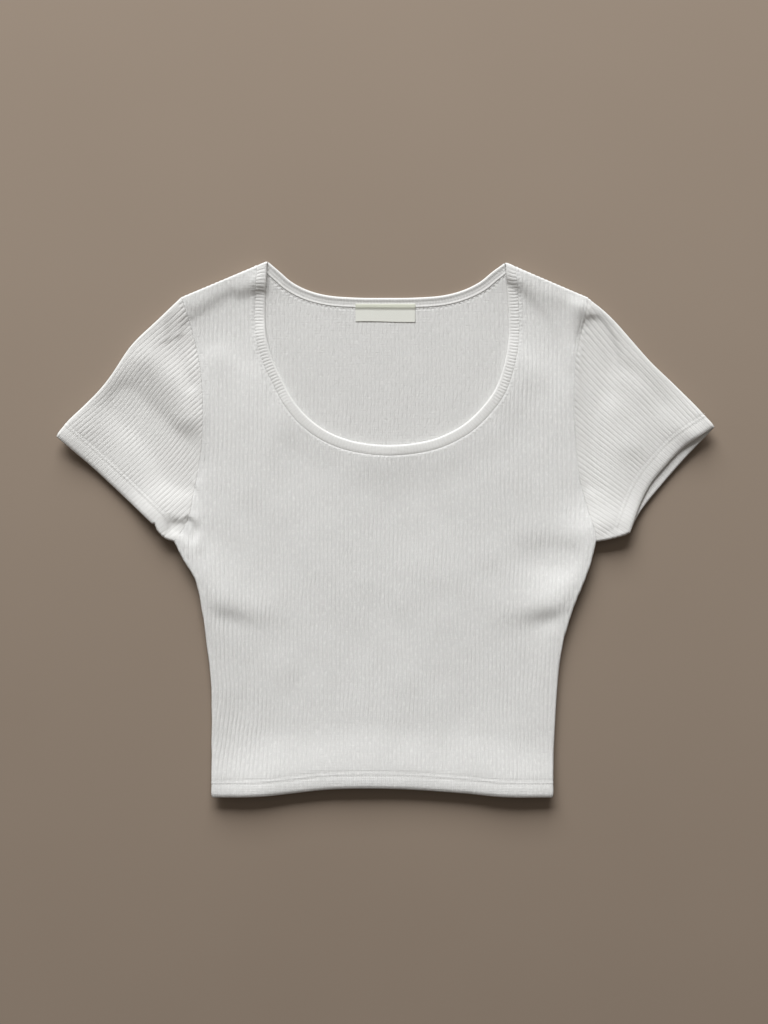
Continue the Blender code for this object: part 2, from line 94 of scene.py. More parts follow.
ON_FLOOR = 0.05          # lowest height of an inner face
RIM_ROWS = (0.45, 1.05, 1.85, 2.8)  # rows of mesh points inside a piece's outline
ROW_NEAR = 0.7           # rows of mesh points either side of a stitch row
COARSE = 7.0             # mesh spacing where nothing is ribbed

# ---- outline
# Torso, a row for each level from the hem to the underarm.
TORSO_ROWS = (  # y, left x, right x
    (-217.5, -142, 137), (-173, -142.3, 138), (-132, -142.5, 140.5),
    (-99, -145.5, 144), (-66, -150, 153), (-41, -155.5, 163),
    (-25, -165, 168.5), (-10, -172.5, 172),
)
# Sleeve seam, a row for each level from the underarm to the shoulder tip.
ARMHOLE_ROWS = (  # y, left x, right x
    (-10, -172.5, 172), (0, -165.5, 170.5), (11, -160.5, 167),
    (30, -157, 161.5), (46, -154, 158), (70, -150.5, 156),
    (100, -149.6, 154.6), (131, -151.5, 154.8), (153, -156, 157.5),
    (172, -161, 161.8), (190, -167, 165),
)
# Front edge of the hem, from left to right.
HEM_ROWS = (  # x, y
    (-142, -217.5), (-98, -216.5), (-45, -211), (5, -210.5),
    (62, -214), (95, -217), (137, -217.5),
)
# Seam between the front panel and the neck band, from the left shoulder round to the right one.
SCOOP_ROWS = (  # x, y
    (-104.6, 216.2), (-106.6, 190), (-106.4, 160), (-100.5, 137),
    (-92, 118.5), (-81.5, 99.5), (-67, 83.5), (-51, 72.5),
    (-32, 65), (-8.5, 61), (15, 61), (39, 65),
    (55, 71), (71, 80.5), (86.5, 95.5), (97.5, 111),
    (104.8, 131), (109, 153), (109.3, 177), (106, 215.2),
)
# Free edge of the neck band across the back, from the left neck point to the right one.
BACK_NECK_ROWS = (  # x, y
    (-96.5, 219.5), (-86.5, 211), (-77, 203), (-64, 196.3),
    (-48, 192), (-25, 190.1), (0, 189.8), (25, 190.1),
    (48, 192), (64, 196.3), (77.5, 203), (87.5, 211),
    (98, 218.5),
)
# Each sleeve's folded top edge from shoulder tip to cuff tip, its cuff edges from the cuff tip
# down, and its underarm edge from the cuff in to the side seam.
SLEEVE_EDGES = {
    "left": {
        "top": ((-167, 190), (-188, 170), (-207, 151.5), (-229, 120),
                (-246, 101.5), (-260, 87.5), (-268, 77)),
        "cuff_upper": ((-268, 77), (-254, 64.7), (-239.6, 52.2), (-212.2, 26.6), (-188.6, 4.4)),
        "cuff_lower": ((-268, 77), (-253, 66), (-238.5, 53.5), (-211.5, 27.4), (-188.6, 4.4)),
        "underarm": ((-188.6, 4.4), (-185.2, -2.2), (-179.6, -7.4), (-172.5, -10)),
    },
    "right": {
        "top": ((165, 190), (184, 174), (201, 155), (217, 137),
                (236.5, 118), (251, 103.5), (268, 84.5)),
        "cuff_upper": ((268, 84.5), (254.5, 76), (241, 66), (227.5, 51.5),
                       (216.5, 38), (207.8, 22), (198, -3.6)),
        "cuff_lower": ((268, 84.5), (247.5, 62.5), (226.5, 38.5), (206.5, 13.5), (198, -3.6)),
        "underarm": ((198, -3.6), (189.5, -6.4), (180.5, -8.6), (172, -10)),
    },
}

# ---- folds of the upper layer
# Each is a soft ridge (rise above 0) or trough along an arc. bend is how far the arc bows to the
# left of its travel, width is its half width, and skew widens its left side and narrows its right.
FOLD_ROWS = (
    # x start, y start, x end, y end, bend, width, rise start, rise end, skew
    # left shoulder: a rolled edge, a hollow under it and a fainter one beside the neck band
    (-108, 205, -160, 185, 0, 6, 0.9, 0.9, 0),
    (-158, 163, -102, 188, 0, 13, -3.4, -4.4, -0.35),
    (-120, 180, -90, 112, -4, 12, -2.8, -0.8, -0.3),
    (-104, 212, -102, 186, 0, 8, 1.6, 0.4, 0),
    # right shoulder
    (110, 206, 159, 185, 0, 6, 0.9, 1.3, 0),
    (100, 192, 144, 126, 3, 16, -5, -0.8, -0.3),
    (108, 212, 107, 186, 0, 8, 1.6, 0.4, 0),
    (157, 184, 154, 60, -3, 9, 2, 0, 0),
    (160, 186, 190, 166, 0, 7, 2.4, 0.6, 0),
    # left sleeve
    (-206, 150, -162, 92, 5, 13, 2.2, 2.4, 0),
    (-230, 122, -168, 54, 4, 17, -3.2, -4, -0.2),
    (-177, 172, -160, 118, -3, 4.6, -1.9, -0.9, 0),
    (-214, 34, -164, 20, -3, 12, 0, 0.5, 0),
    (-186, 1, -161, -1, 1, 6.5, -4.5, -6, 0),
    (-188, 8, -164, 6, 1, 6, 0.5, 1.2, 0),
    (-184, -6.5, -171, -8.5, 1, 2.8, 1.4, 1.2, 0),
    (-161.5, 8, -158.5, -9, 0.8, 2.4, -1.8, -1, 0),
    (-167, 1, -163, -12, 0, 2.2, 1.2, 0.6, 0),
    (-155, 10, -151, -16, 0, 3, 0.8, 0.5, 0),
    # right sleeve
    (172, 168, 169, 36, -3, 7.5, -6.5, -1.2, 0.25),
    (174, 156, 182, 116, 3, 14, -6.5, -1.6, 0),
    (193, 150, 203, 70, 6, 12, 0.6, 1.4, 0),
    (200, 132, 228, 104, 2, 7, -0.9, -0.7, 0),
    (216, 92, 256, 76, 0, 10, 0, 1.4, 0),
    (164, 20, 196, 6, 3, 10, 0, 0.4, 0),
    (180, -4, 193, 0, 1, 2.6, -1.8, -0.8, 0),
    (173, -8, 165, -26, 0.5, 2, -1.5, -0.5, 0),
    (169, -6, 160, -26, 0.5, 2, 1.1, 0.4, 0),
    # right side of the torso, from the underarm down
    (118, -2, 176, 2, -3, 12, 0, 0.8, 0),
    (86, -26, 150, -24, 2, 13, 0, -2, 0),
    (72, -74, 160, -60, 3, 14, 0, 3.2, 0.25),
    (108, -79, 148, -71, -1, 6, 0, -1.6, 0),
    # left side of the torso
    (-64, -72, -156, -55, 3, 13, 0, 2, -0.4),
    (-98, -76, -148, -68, 2, 9, 0, -1.1, 0),
    # soft bright lobes above the hem, either side of the middle
    (-112, -222, -62, -156, 0, 25, 2.6, 0, 0),
    (104, -222, 62, -150, 0, 28, 2.6, 0, 0),
)


# ---- helpers
def smooth(value, start, end):
    """Ramp from 0 at start to 1 at end with no corners."""
    t = np.clip((np.asarray(value, float) - start) / (end - start), 0.0, 1.0)
    return t * t * (3.0 - 2.0 * t)


def bell(value, width):
    """1 where value is 0, and near 0 from about twice the width on."""
    return np.exp(-(value / width) ** 2)


def unit(rows):
    """The vectors scaled to length 1."""
    return rows / np.linalg.norm(rows, axis=-1, keepdims=True)


def curve(rows, step):
    """Even stations, about step apart, on a smooth curve through the rows."""
    p = np.array(rows, float)
    p = np.vstack([2 * p[0] - p[1], p, 2 * p[-1] - p[-2]])
    knots = np.concatenate([[0.0], np.cumsum(np.linalg.norm(np.diff(p, axis=0), axis=1) ** 0.5)])
    fine = []
    for i in range(1, len(p) - 2):
        t0, t1, t2, t3 = knots[i - 1:i + 3]
        t = np.linspace(t1, t2, 48, endpoint=False)[:, None]
        a1 = (t1 - t) / (t1 - t0) * p[i - 1] + (t - t0) / (t1 - t0) * p[i]
        a2 = (t2 - t) / (t2 - t1) * p[i] + (t - t1) / (t2 - t1) * p[i + 1]
        a3 = (t3 - t) / (t3 - t2) * p[i + 1] + (t - t2) / (t3 - t2) * p[i + 2]
        b1 = (t2 - t) / (t2 - t0) * a1 + (t - t0) / (t2 - t0) * a2
        b2 = (t3 - t) / (t3 - t1) * a2 + (t - t1) / (t3 - t1) * a3
        fine.append((t2 - t) / (t2 - t1) * b1 + (t - t1) / (t2 - t1) * b2)
    fine = np.vstack(fine + [p[-2][None, :]])
    run = arc_run(fine)
    stations = np.linspace(0.0, run[-1], max(2, int(round(run[-1] / step)) + 1))
    return places_at(stations, run, fine)


def arc_run(line):
    """Distance along a line at each of its points."""
    return np.concatenate([[0.0], np.cumsum(np.linalg.norm(np.diff(line, axis=0), axis=1))])


def places_at(stations, run, line):
    """Points at the given distances along a line whose own points are at run."""
    return np.column_stack([np.interp(stations, run, line[:, k]) for k in (0, 1)])


def side_normals(line):
    """Unit normals to the right of an open line's direction of travel."""
    tangent = unit(np.gradient(line, axis=0))
    return np.column_stack([tangent[:, 1], -tangent[:, 0]])


def loop_outward(loop):
    """Unit normals out of a closed loop that runs anticlockwise."""
    tangent = unit(np.roll(loop, -1, axis=0) - np.roll(loop, 1, axis=0))
    return np.column_stack([tangent[:, 1], -tangent[:, 0]])


def waves(points, length, seed, count=14):
    """Smooth, repeatable unevenness between about -1 and 1, with the given wave length."""
    rng = np.random.default_rng(seed)
    total = np.zeros(len(points))
    for _ in range(count):
        angle = rng.uniform(0.0, TURN)
        k = TURN / (length * rng.uniform(0.75, 1.5))
        phase = rng.uniform(0.0, TURN)
        along = points[:, 0] * math.cos(angle) + points[:, 1] * math.sin(angle)
        total += np.sin(k * along + phase)
    return total / math.sqrt(count) / 1.4


class Line:
    """A line of close points that finds its nearest place to others."""

    def __init__(self, points):
        self.points = points
        self.normals = side_normals(points)
        self.tree = kdtree.KDTree(len(points))
        for i, (x, y) in enumerate(points):
            self.tree.insert((x, y, 0.0), i)
        self.tree.balance()

    def near(self, points):
        """Distance, nearest place, its index and the run along the line for each point."""
        find = self.tree.find
        index = np.array([find((x, y, 0.0))[1] for x, y in points.tolist()], dtype=np.int64)
        best = np.full(len(points), 1e9)
        foot = self.points[index].copy()
        run = np.zeros(len(points))
        for first in (index - 1, index):
            first = np.clip(first, 0, len(self.points) - 2)
            a = self.points[first]
            ab = self.points[first + 1] - a
            t = np.clip(((points - a) * ab).sum(axis=1) / (ab ** 2).sum(axis=1), 0.0, 1.0)
            place = a + ab * t[:, None]
            gap = np.linalg.norm(points - place, axis=1)
            closer = gap < best
            best[closer] = gap[closer]
            foot[closer] = place[closer]
            run[closer] = (first + t)[closer] * EDGE_STEP
        return best, foot, index, run

    def gap(self, points):
        return self.near(points)[0]


def nearest_gap(lines, points):
    """Distance from each point to the nearest of several lines."""
    return np.min([line.gap(points) for line in lines], axis=0)


def inside(points, loop):
    """Even-odd test of each point against a closed loop, in blocks of points."""
    x0, y0 = loop[:, 0], loop[:, 1]
    x1, y1 = np.roll(x0, -1), np.roll(y0, -1)
    slope = (x1 - x0) / np.where(np.abs(y1 - y0) < 1e-12, 1e-12, y1 - y0)
    result = []
    for start in range(0, max(len(points), 1), 4000):
        x = points[start:start + 4000, 0][:, None]
        y = points[start:start + 4000, 1][:, None]
        cross = (y0 > y) != (y1 > y)
        result.append((cross & (x < slope * (y - y0) + x0)).sum(axis=1) % 2 == 1)
    return np.concatenate(result)


def loop_from(*parts):
    """One closed loop from lines that meet end to end, without repeated corners."""
    points = []
    for part in parts:
        for p in part:
            if not points or math.dist(points[-1], p) > 0.25:
                points.append(tuple(p))
    if math.dist(points[0], points[-1]) < 0.25:
        points.pop()
    loop = np.array(points)
    turn = loop[:, 0] * np.roll(loop[:, 1], -1) - np.roll(loop[:, 0], -1) * loop[:, 1]
    return loop if turn.sum() > 0 else loop[::-1]


# ---- seam and edge lines
torso = np.array(TORSO_ROWS)
arm = np.array(ARMHOLE_ROWS)
SIDE = {"left": curve(torso[:, [1, 0]], EDGE_STEP), "right": curve(torso[:, [2, 0]], EDGE_STEP)}
ARMHOLE = {"left": curve(arm[:, [1, 0]], EDGE_STEP), "right": curve(arm[:, [2, 0]], EDGE_STEP)}
HEM = curve(HEM_ROWS, EDGE_STEP)
BACK_HEM = HEM.copy()
BACK_HEM[:, 1] += 2.0 * np.sin(np.linspace(0, math.pi, len(HEM)))
SCOOP = curve(SCOOP_ROWS, EDGE_STEP)
BACK_FREE = curve(BACK_NECK_ROWS, EDGE_STEP)
NECK_POINT = {"left": BACK_FREE[0], "right": BACK_FREE[-1]}
SHOULDER = {}
for hand, neck_seam in (("left", SCOOP[0]), ("right", SCOOP[-1])):
    count = int(math.dist(ARMHOLE[hand][-1], neck_seam) / EDGE_STEP)
    SHOULDER[hand] = np.linspace(ARMHOLE[hand][-1], neck_seam, count)
SLEEVE = {hand: {name: curve(rows, EDGE_STEP) for name, rows in edges.items()}
          for hand, edges in SLEEVE_EDGES.items()}


def across_band(line, normal, reach, ends):
    """A line moved by the band's width, square to it but along the shoulders at its two ends."""
    run = arc_run(line)
    for place, along in ((run, ends[0]), (run[-1] - run, ends[1])):
        share = (1.0 - smooth(place, 0.0, reach))[:, None]
        normal = normal * (1.0 - share) + along / np.linalg.norm(along) * share
    return line + unit(normal) * BAND_WIDTH


# Across the band at the two shoulders, from its seam in to its free edge.
BAND_ENDS = (NECK_POINT["left"] - SCOOP[0], NECK_POINT["right"] - SCOOP[-1])
FRONT_FREE = across_band(SCOOP, -side_normals(SCOOP), 22.0, BAND_ENDS)
BACK_SEAM = across_band(BACK_FREE, side_normals(BACK_FREE), 16.0, [-end for end in BAND_ENDS])
BACK_SEAM[0] = SCOOP[0]
BACK_SEAM[-1] = SCOOP[-1]
FOLD_LINES = []
for hand, edges in SLEEVE.items():
    FOLD_LINES.append(Line(np.vstack([SIDE[hand], edges["underarm"][::-1][1:]])))
    FOLD_LINES.append(Line(np.vstack([edges["top"][::-1], SHOULDER[hand][1:], NECK_POINT[hand]])))
HEM_LINE = Line(HEM)
SCOOP_LINE = Line(SCOOP)
ARM_LINES = {hand: Line(ARMHOLE[hand]) for hand in ARMHOLE}
CUFF_LINES = {hand: {key: Line(SLEEVE[hand]["cuff_" + key]) for key in ("upper", "lower")}
              for hand in SLEEVE}


# ---- relief of the upper layer
class Relief:
    """Heights on a 1 mm grid over the plan, read between its points."""

    def __init__(self):
        self.x, self.y = (np.arange(-half, half + 1.0) for half in PLAN_HALF)
        gx, gy = np.meshgrid(self.x, self.y)
        self.plan = np.column_stack([gx.ravel(), gy.ravel()])
        self.height = np.zeros(len(self.plan))

    def add_fold(self, x0, y0, x1, y1, bend, width, rise0, rise1, skew):
        a = np.array((x0, y0))
        b = np.array((x1, y1))
        left = np.array((-(b - a)[1], (b - a)[0])) / np.linalg.norm(b - a)
        t = np.linspace(0.0, 1.0, 17)[:, None]
        line = a + (b - a) * t + left * bend * 4.0 * t * (1.0 - t)
        low = line.min(axis=0) - 3.0 * width
        high = line.max(axis=0) + 3.0 * width
        near = ((self.plan > low) & (self.plan < high)).all(axis=1)
        points = self.plan[near]
        start, step = line[:-1], np.diff(line, axis=0)
        s = np.clip(((points[:, None] - start) * step).sum(axis=2) / (step ** 2).sum(axis=1), 0, 1)
        away = points[:, None] - (start + s[:, :, None] * step)
        gap = np.linalg.norm(away, axis=2)
        best = gap.argmin(axis=1)
        rows = np.arange(len(points))
        along = (best + s[rows, best]) / len(step)
        cross = step[best, 0] * away[rows, best, 1] - step[best, 1] * away[rows, best, 0]
        side = width * (1.0 + skew * np.sign(cross))
        rise = rise0 + (rise1 - rise0) * smooth(along, 0.0, 1.0)
        self.height[near] += rise * bell(gap[rows, best], side)

    def finish(self):
        shape = (len(self.y), len(self.x))
        self.grid = self.height.reshape(shape)
        for _ in range(3):
            pad = np.pad(self.grid, 1, mode="edge")
            self.grid = (pad[1:-1, 1:-1] * 4 + pad[:-2, 1:-1] + pad[2:, 1:-1] + pad[1:-1, :-2]
                         + pad[1:-1, 2:]) / 8
        self.slope_y, self.slope_x = np.gradient(self.grid)

    def read(self, points, grid=None):
        grid = self.grid if grid is None else grid
        fx = np.clip(points[:, 0] - self.x[0], 0, len(self.x) - 1.001)
        fy = np.clip(points[:, 1] - self.y[0], 0, len(self.y) - 1.001)
        i, j = fx.astype(int), fy.astype(int)
        u, v = fx - i, fy - j
        return (grid[j, i] * (1 - u) * (1 - v) + grid[j, i + 1] * u * (1 - v)
                + grid[j + 1, i] * (1 - u) * v + grid[j + 1, i + 1] * u * v)


def fold_distance(points):
    """Distance to the folded outline, and the direction out to it."""
    found = [line.near(points) for line in FOLD_LINES]
    gaps = np.array([f[0] for f in found])
    best = gaps.argmin(axis=0)
    rows = np.arange(len(points))
    gap = gaps.min(axis=0)
    out = np.array([f[1] for f in found])[best, rows] - points
    index = np.array([f[2] for f in found])[best, rows]
    on_edge = gap < 0.02
    for which, line in enumerate(FOLD_LINES):
        here = on_edge & (best == which)
        out[here] = line.normals[index[here]] * (-1.0 if which < 2 else 1.0)
    out /= np.maximum(np.linalg.norm(out, axis=1), 1e-9)[:, None]
    return np.where(on_edge, 0.0, gap), out


def fold_half(points):
    """Half height of the folded edge near each point."""
    sleeve = smooth(np.abs(points[:, 0]), 168.0, 200.0)
    hem = smooth(-points[:, 1], 186.0, 204.0)
    neck = np.zeros(len(points))
    for place in NECK_POINT.values():
        neck = np.maximum(neck, 1.0 - smooth(np.linalg.norm(points - place, axis=1), 14.0, 42.0))
    thick = np.maximum(np.maximum(sleeve, hem), neck)
    return FOLD_HALF + (FOLD_HALF_THICK - FOLD_HALF) * thick


def make_reliefs():
    """The upper layer's heights, and how far the lower layer stands off the floor at its edges."""
    relief = Relief()
    plan = relief.plan
    gap, _ = fold_distance(plan)
    half = fold_half(plan)
    hem_gap = HEM_LINE.gap(plan)
    cuff_gap = nearest_gap([lines["upper"] for lines in CUFF_LINES.values()], plan)
    turned = np.minimum(hem_gap, cuff_gap)
    under = Relief()
    armpit = bell(plan[:, 1] + 32.0, 62.0)
    under.height = HEM_LIFT * (1.0 - smooth(hem_gap, 0.0, 52.0))
    under.height += CUFF_LIFT * (1.0 - smooth(cuff_gap, 0.0, 50.0))
    under.height += (EDGE_LIFT + ARMPIT_LIFT * armpit) * bell(gap, 24.0)
    for edges in SLEEVE.values():
        tip_gap = np.linalg.norm(plan - edges["top"][-1], axis=1)
        under.height += TIP_LIFT * bell(tip_gap, 32.0)
    under.finish()
    height = MID_HEIGHT + 0.8 * (1.0 - smooth(turned, 0.0, 50.0))
    height += 1.1 * bell(SCOOP_LINE.gap(plan), 20.0)
    fuller = 1.0 * smooth(-plan[:, 0], 160.0, 195.0) + 1.4 * smooth(plan[:, 0], 160.0, 186.0)
    height += fuller * (0.25 + 0.75 * smooth(cuff_gap, 0.0, 40.0))
    middle = bell(plan[:, 0] + 4.0, 80.0)
    height += 2.2 * middle * smooth(-plan[:, 1], 80.0, 215.0)
    height += 0.28 * waves(plan, 95.0, 3) + 0.12 * waves(plan, 34.0, 8)
    relief.height = height
    for row in FOLD_ROWS:
        relief.add_fold(*row)
    edge = bell(gap, 13.0)
    relief.height += (2.0 * half + SEAM - relief.height) * edge
    floor = CLOTH * 2 + 0.2 + (TURN_UP - CLOTH) * 2 * (1.0 - smooth(turned, 10.0, 13.0))
    over = relief.height - floor
    pressed = 0.6 * np.exp(np.minimum(over - 0.6, 0) / 0.6)
    relief.height = floor + np.where(over > 0.6, over, pressed)
    relief.height += under.grid.ravel()
    relief.finish()
    return relief, under


RELIEF, UNDER = make_reliefs()


def layer(points, upper, meet=False):
    """Middle of one layer's outer face over plan points, and its outward normals."""
    gap, out = fold_distance(points)
    half = fold_half(points)
    reach = half * FOLD_REACH
    cos = np.clip(1.0 - gap / reach, 0.0, 1.0)
    sin = np.sqrt(1.0 - cos ** 2)
    seam_z = half + UNDER.read(points) + (SEAM / 2 if meet else (SEAM if upper else 0.0))
    face = RELIEF if upper else UNDER
    far = face.read(points)
    lean = np.column_stack([-face.read(points, face.slope_x), -face.read(points, face.slope_y),
                            np.ones(len(points))])
    if not upper:
        lean = -lean
    z = seam_z + (far - seam_z) * sin
    normal = np.column_stack([out * (cos / reach)[:, None], np.zeros(len(points))])
    normal = normal + lean * (sin / np.maximum(np.abs(far - seam_z), 0.5))[:, None]
    return np.column_stack([points, z]), unit(normal)


# ---- ribs
def rib_profile(u):
    """Height of a rib from 0 in its groove to 1 on its broad crest, u counting ribs."""
    return 1.0 - (0.5 + 0.5 * np.cos(TURN * u)) ** 1.5


def body_ribs(points):
    """Across and along the body's ribs, in mm: straight, and leaning a little at the sides."""
    x, y = points[:, 0], points[:, 1]
    right_lean = 6.0 * smooth(x, 60.0, 185.0) * smooth(y, -150.0, 0.0)
    left_lean = 5.0 * smooth(-x, 90.0, 185.0) * smooth(y, -90.0, 20.0)
    left_fan = 0.07 * smooth(-x, 40.0, 150.0) * (-y - 130.0).clip(0, 90)
    bent = 1.0 * waves(points, 110.0, 21) + 0.35 * waves(points, 30.0, 22)
    slope = RELIEF.read(points, RELIEF.slope_x)
    return x - right_lean + left_lean + left_fan + bent + 1.6 * slope, y


def sleeve_ribs(hand):
    """The same for a sleeve: its ribs run square to the cuff and bow on their way to the cap."""
    tip = SLEEVE[hand]["top"][-1]
    low = SLEEVE[hand]["underarm"][0]
    down = (low - tip) / np.linalg.norm(low - tip)
    inward = np.array((-down[1], down[0])) if hand == "left" else np.array((down[1], -down[0]))

    def ribs(points):
        rel = points - tip
        across = rel @ down
        along = rel @ inward
        if hand == "left":
            across = across - 0.08 * along + 3.0 * np.tanh((along - 68.0) / 15.0)
        else:
            across = across + (0.16 - 0.0022 * across) * (along - 45.0)
        slopes = (RELIEF.slope_x, RELIEF.slope_y)
        slope = np.column_stack([RELIEF.read(points, grid) for grid in slopes])
        bent = 0.8 * waves(points, 90.0, 31) + 1.6 * (slope @ down)
        return across + bent, along
    return ribs, tip, down, inward


# ---- cloth meshes
def lattice(loop, origin, across_dir, along_dir, across, along):
    """Rows of points square to the ribs over the loop's extent."""
    rel = loop - origin
    a = rel @ across_dir
    b = rel @ along_dir
    columns = np.arange(math.floor(a.min() / across), math.ceil(a.max() / across) + 1) * across
    rows = np.arange(math.floor(b.min() / along), math.ceil(b.max() / along) + 1) * along
    ga, gb = np.meshgrid(columns, rows)
    return origin + ga.ravel()[:, None] * across_dir + gb.ravel()[:, None] * along_dir


def edge_rows(loop, offsets):
    """Rows of points inside a closed loop, beside its edge."""
    outward = loop_outward(loop)
    rim = Line(np.vstack([loop, loop[:1]]))
    rows = []
    for d in offsets:
        row = loop - outward * d
        rows.append(row[rim.gap(row) > 0.93 * d])
    points = np.vstack(rows)
    return points[inside(points, loop)], rim


def rows_beside(line, distances, loop, rim, clear, every=1):
    """Rows of points inside a loop along both sides of a line, kept clear of the loop's rim."""
    rows = []
    for d in distances:
        for sign in (-1.0, 1.0):
            row = line.points[::every] + line.normals[::every] * d * sign
            row = row[inside(row, loop)]
            rows.append(row[rim.gap(row) > clear])
    return rows


def fill(loop, points):
    """Triangles over a closed loop and the points inside it; the loop's points stay first."""
    everything = np.vstack([loop, points])
    count = len(loop)
    rim = [(i, (i + 1) % count) for i in range(count)]
    result = delaunay_2d_cdt([Vector(p) for p in everything.tolist()], rim, [], 1, 1e-6)
    plan = np.array([tuple(v) for v in result[0]])
    tris = np.array([tuple(t) for t in result[2] if len(t) == 3])
    a, b, c = plan[tris[:, 0]], plan[tris[:, 1]], plan[tris[:, 2]]
    turn = (b[:, 0] - a[:, 0]) * (c[:, 1] - a[:, 1]) - (b[:, 1] - a[:, 1]) * (c[:, 0] - a[:, 0])
    tris[turn < 0] = tris[turn < 0][:, ::-1]
    return plan, tris


def new_object(name, data):
    """An object with this data, in the scene."""
    obj = bpy.data.objects.new(name, data)
    bpy.context.scene.collection.objects.link(obj)
    return obj


def face_outward(obj):
    """Turn the faces of a closed mesh outward."""
    work = bmesh.new()
    work.from_mesh(obj.data)
    bmesh.ops.recalc_face_normals(work, faces=work.faces)
    work.to_mesh(obj.data)
    work.free()
    return obj


class Shell:
    """Points, triangles, quads and rib coordinates of one piece as it is put together."""

    def __init__(self):
        self.points = []
        self.uv = []
        self.faces = []
        self.count = 0

    def add(self, points, uv):
        start = self.count
        self.points.append(points)
        self.uv.append(uv)
        self.count += len(points)
        return start

    def to_object(self, name, material, weld=0.0):
        mesh = bpy.data.meshes.new(name)
        points = np.vstack(self.points) * MM
        points[:, 1] += PLAN_SHIFT
        faces = [tuple(map(int, f)) for block in self.faces for f in block]
        mesh.from_pydata(points.tolist(), [], faces)
        uv = np.vstack(self.uv)
        layer_uv = mesh.uv_layers.new(name="ribs")
        corner = np.zeros(len(mesh.loops), dtype=np.int64)
        mesh.loops.foreach_get("vertex_index", corner)
        layer_uv.data.foreach_set("uv", uv[corner].ravel())
        if weld:
            work = bmesh.new()
            work.from_mesh(mesh)
            bmesh.ops.remove_doubles(work, verts=work.verts, dist=weld * MM)
            work.to_mesh(mesh)
            work.free()
        mesh.polygons.foreach_set("use_smooth", [True] * len(mesh.polygons))
        mesh.materials.append(material)
        return new_object(name, mesh)


X_AXIS = np.array((1.0, 0.0))
Y_AXIS = np.array((0.0, 1.0))
TURN_UP_STEP = (TURN_UP_DEPTH - 0.2, TURN_UP_DEPTH + 0.9)  # where the inside steps down
PLAN_SHIFT = float(CAD_BOX[1][1]) - NECK_POINT["left"][1] * MM


